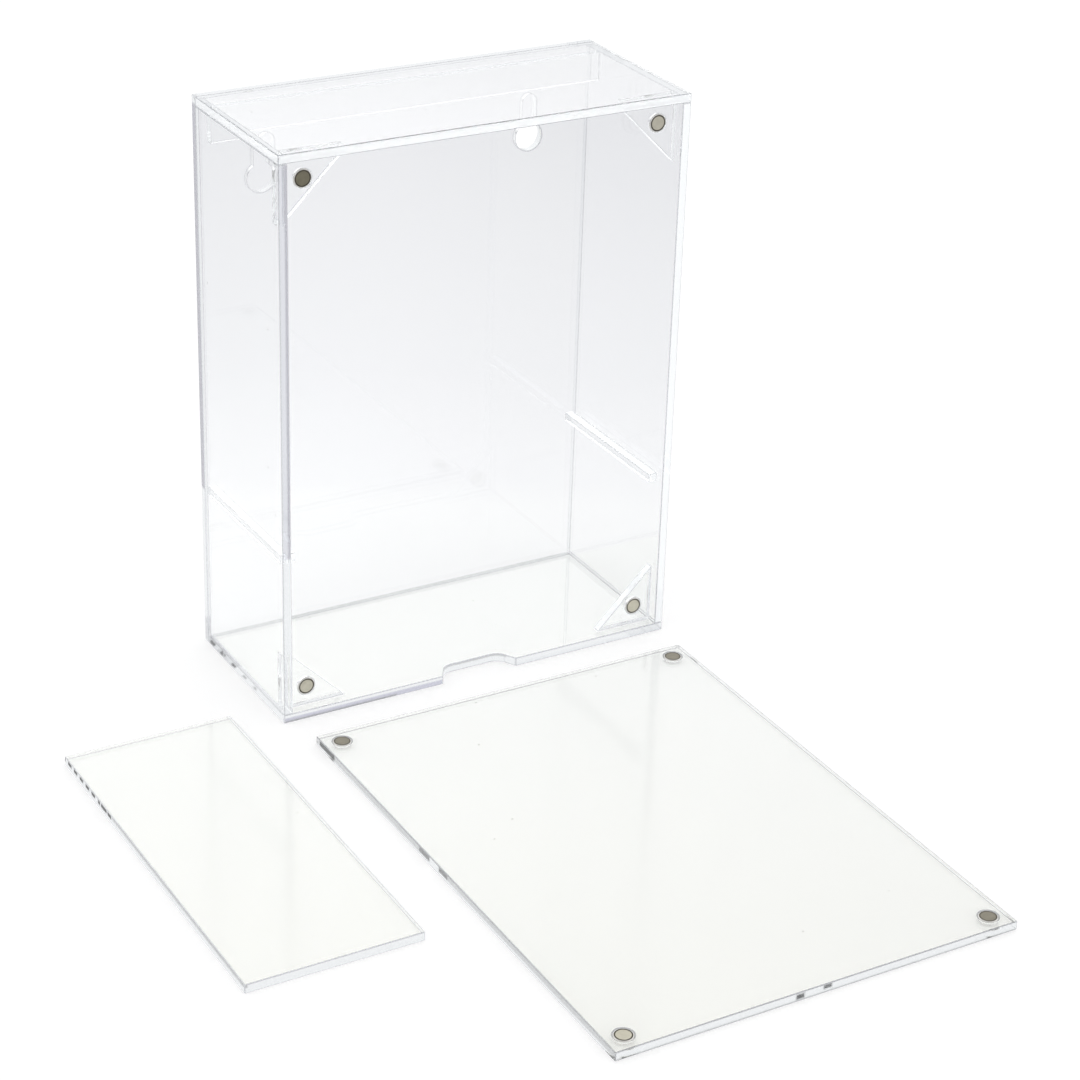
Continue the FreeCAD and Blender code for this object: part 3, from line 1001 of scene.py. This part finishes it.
def along_line(nodes, links, place, direction):
    """How far a place lies along a direction on the table."""
    return vector_maths(
        nodes, links, "DOT_PRODUCT", place, direction, out="Value"
    )


material, shader, nodes, links = new_material("table_white")
place = object_place(nodes)
away = along_line(nodes, links, place, AWAY)
across = along_line(nodes, links, place, ACROSS)
x, y, z = parts_of(nodes, links, place)
# Painted shade on the table, seen only through the sheets and in reflections.
shade_under = colour_ramp(
    nodes, links, away,
    [(-0.25, (0.995, 0.995, 0.945)), (0.05, (0.955, 0.965, 0.955))],
)
shade_behind = colour_ramp(
    nodes, links, away,
    [
        (0.0, (0.98, 0.985, 0.99)),
        (0.10, (0.97, 0.975, 0.98)),
        (0.12, (0.935, 0.94, 0.955)),
        (0.22, (0.868, 0.874, 0.893)),
        (0.38, (0.825, 0.830, 0.850)),
        (0.60, (0.76, 0.765, 0.79)),
    ],
)
shade_sideways = colour_ramp(
    nodes, links, across,
    [(-0.04, (1.0, 1.0, 1.0)), (0.18, (0.905, 0.905, 0.905))],
)
past_back = maths(nodes, links, "GREATER_THAN", y, CASE_BACK)
seen = mix_colour(nodes, links, past_back, shade_under, shade_behind)
shaded = mix_colour(nodes, links, 1.0, seen, shade_sideways, "MULTIPLY")
reach = vector_maths(nodes, links, "LENGTH", place, out="Value")
shaded_mirror = colour_ramp(
    nodes, links, reach, [(0.10, (1.0, 1.0, 1.0)), (0.32, (0.74, 0.74, 0.75))]
)
path = nodes.new("ShaderNodeLightPath")
from_camera = path.outputs["Is Camera Ray"]
by_mirror = path.outputs["Is Glossy Ray"]
through_sheet = path.outputs["Is Transmission Ray"]
tone = mix_colour(nodes, links, by_mirror, WHITE, shaded_mirror)
tone = mix_colour(nodes, links, through_sheet, tone, shaded)
dimmed = mix_colour(nodes, links, 1.0, tone, TABLE_COLOUR, "MULTIPLY")
links.new(dimmed, shader.inputs["Base Color"])
links.new(tone, shader.inputs["Emission Color"])
seen_rays = maths(nodes, links, "MAXIMUM", from_camera, by_mirror)
seen_rays = maths(nodes, links, "MAXIMUM", seen_rays, through_sheet)
glow = maths(nodes, links, "MULTIPLY", seen_rays, TABLE_GLOW)
links.new(glow, shader.inputs["Emission Strength"])
shader.inputs["Roughness"].default_value = TABLE_ROUGHNESS
shader.inputs["Specular IOR Level"].default_value = 0.0
table.data.materials.append(material)
print("table:", TABLE, "m across")

# %% Room
ROOM_LIGHT = 1.66
world = bpy.data.worlds.new("studio")
bpy.context.scene.world = world
world.use_nodes = True
nodes, links = world.node_tree.nodes, world.node_tree.links
room = nodes["Background"]
room.inputs["Strength"].default_value = ROOM_LIGHT
white = nodes.new("ShaderNodeBackground")
white.inputs["Color"].default_value = WHITE
path = nodes.new("ShaderNodeLightPath")
mix = nodes.new("ShaderNodeMixShader")
links.new(path.outputs["Is Camera Ray"], mix.inputs["Fac"])
links.new(room.outputs["Background"], mix.inputs[1])
links.new(white.outputs["Background"], mix.inputs[2])
links.new(mix.outputs["Shader"], nodes["World Output"].inputs["Surface"])
coord = nodes.new("ShaderNodeTexCoord")
x, y, z = parts_of(nodes, links, coord.outputs["Generated"])
sky = colour_ramp(
    nodes, links, z,
    [
        (0.0, (0.28, 0.28, 0.30)),
        (0.3, (0.60, 0.60, 0.61)),
        (0.42, (1.0, 1.0, 1.0)),
        (0.55, (0.90, 0.90, 0.90)),
        (0.8, (0.45, 0.45, 0.45)),
    ],
)
links.new(sky, room.inputs["Color"])
bpy.context.scene.view_settings.view_transform = "Standard"
print("room light:", ROOM_LIGHT)

# %% [markdown]
# ## Measure and finish
# The visual model has to keep the solids' size, so its box is printed.

# %% Sizes
low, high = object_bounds()
print("visual box:", [round(v, 4) for v in low], [round(v, 4) for v in high])
